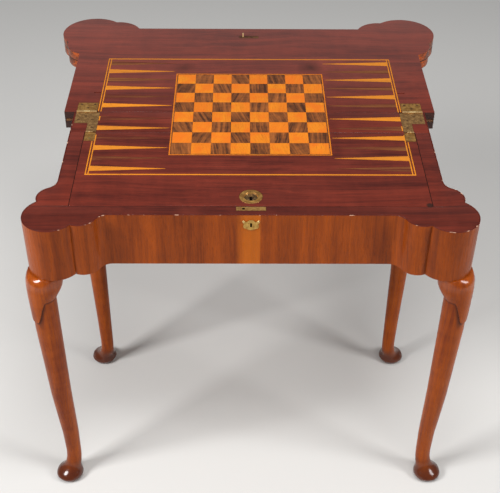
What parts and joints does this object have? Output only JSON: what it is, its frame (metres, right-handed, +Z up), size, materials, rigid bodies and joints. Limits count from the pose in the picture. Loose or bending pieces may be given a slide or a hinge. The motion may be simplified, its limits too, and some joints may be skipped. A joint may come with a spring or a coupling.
{
  "type": "games table",
  "caption": "Triple-top games table with eared corners, open for play: inlaid chess and backgammon top, lidded well, folding leaves and gate legs.",
  "frame": {"origin": "centre of the bounding box on the floor, under the open table", "axes": "+X to the right along the front, +Y from the front to the back leaves, +Z up"},
  "size_m": [0.8652, 0.8344, 0.7],
  "materials": {
    "top_mahogany": "waxed, half gloss",
    "frieze_veneer": "waxed, half gloss",
    "leg_mahogany": "waxed, glossy",
    "carcase_pine": "bare, matt",
    "inlay": "waxed, half gloss",
    "brass": "aged satin",
    "iron": "dull"
  },
  "bodies": {
    "base": {"front_rail": "carcase_pine", "ear_block_left": "carcase_pine", "ear_block_right": "carcase_pine", "side_rail_left": "carcase_pine", "side_rail_right": "carcase_pine", "back_rail": "carcase_pine", "knuckle_block": "carcase_pine", "well_floor": "carcase_pine", "floor_bearer_front": "carcase_pine", "floor_bearer_back": "carcase_pine", "lid_ledge_left": "carcase_pine", "lid_ledge_right": "carcase_pine", "frieze_veneer_front": "frieze_veneer", "frieze_veneer_left": "frieze_veneer", "frieze_veneer_right": "frieze_veneer", "ear_veneer_left": "frieze_veneer", "ear_veneer_right": "frieze_veneer", "front_leg_left": "leg_mahogany", "front_leg_right": "leg_mahogany", "rim_front": "top_mahogany", "rim_left": "top_mahogany", "rim_right": "top_mahogany", "back_strip": "top_mahogany", "strip_chequers": "inlay", "strip_point_left_1": "inlay", "strip_point_left_2": "inlay", "strip_point_right_1": "inlay", "strip_point_right_2": "inlay", "base_hinge_left": "brass", "base_hinge_right": "brass", "box_lock_case": "brass", "frieze_escutcheon": "brass", "gate_pin_left": "iron", "gate_pin_right": "iron"},
    "games_leaf": {"games_leaf": "top_mahogany", "leaf_chequers": "inlay", "leaf_points": "inlay", "leaf_hinge_left": "brass", "leaf_hinge_right": "brass", "link_plate": "brass", "tea_hinge_upper_left": "brass", "tea_hinge_upper_right": "brass"},
    "tea_leaf": {"tea_leaf": "top_mahogany", "tea_hinge_lower_left": "brass", "tea_hinge_lower_right": "brass"},
    "well_lid": {"well_lid": "top_mahogany", "lid_chequers": "inlay", "lid_points": "inlay", "lid_hinge_left": "brass", "lid_hinge_right": "brass", "lid_escutcheon": "brass", "lid_lock_case": "iron"},
    "gate_left": {"gate_rail_left": "leg_mahogany", "rear_leg_left": "leg_mahogany"},
    "gate_right": {"gate_rail_right": "leg_mahogany", "rear_leg_right": "leg_mahogany"},
    "box_lock_bolt": {"box_lock_bolt": "iron"},
    "lid_lock_bolt": {"lid_lock_bolt": "brass"}
  },
  "joints": [
    {"name": "games_leaf_hinge", "type": "hinge", "parent": "base", "child": "games_leaf", "pos_m": [0, -0.0064, 0.69115], "axis": [-1, 0, 0], "range_deg": [-180, 0]},
    {"name": "tea_leaf_hinge", "type": "hinge", "parent": "games_leaf", "child": "tea_leaf", "pos_m": [0, -0.0064, 0.67135], "axis": [1, 0, 0], "range_deg": [-85, 0]},
    {"name": "well_lid_hinge", "type": "hinge", "parent": "base", "child": "well_lid", "pos_m": [0, -0.0838, 0.69115], "axis": [-1, 0, 0], "range_deg": [0, 100]},
    {"name": "gate_left_hinge", "type": "hinge", "parent": "base", "child": "gate_left", "pos_m": [-0.062, -0.0439, 0.582], "axis": [0, 0, -1], "range_deg": [0, 60]},
    {"name": "gate_right_hinge", "type": "hinge", "parent": "base", "child": "gate_right", "pos_m": [0.062, -0.0439, 0.582], "axis": [0, 0, 1], "range_deg": [0, 60]},
    {"name": "box_bolt_slide", "type": "slide", "parent": "base", "child": "box_lock_bolt", "axis": [1, 0, 0], "range_m": [0, 0.006]},
    {"name": "lid_bolt_slide", "type": "slide", "parent": "well_lid", "child": "lid_lock_bolt", "axis": [0, -1, 0], "range_m": [0, 0.0035]}
  ]
}
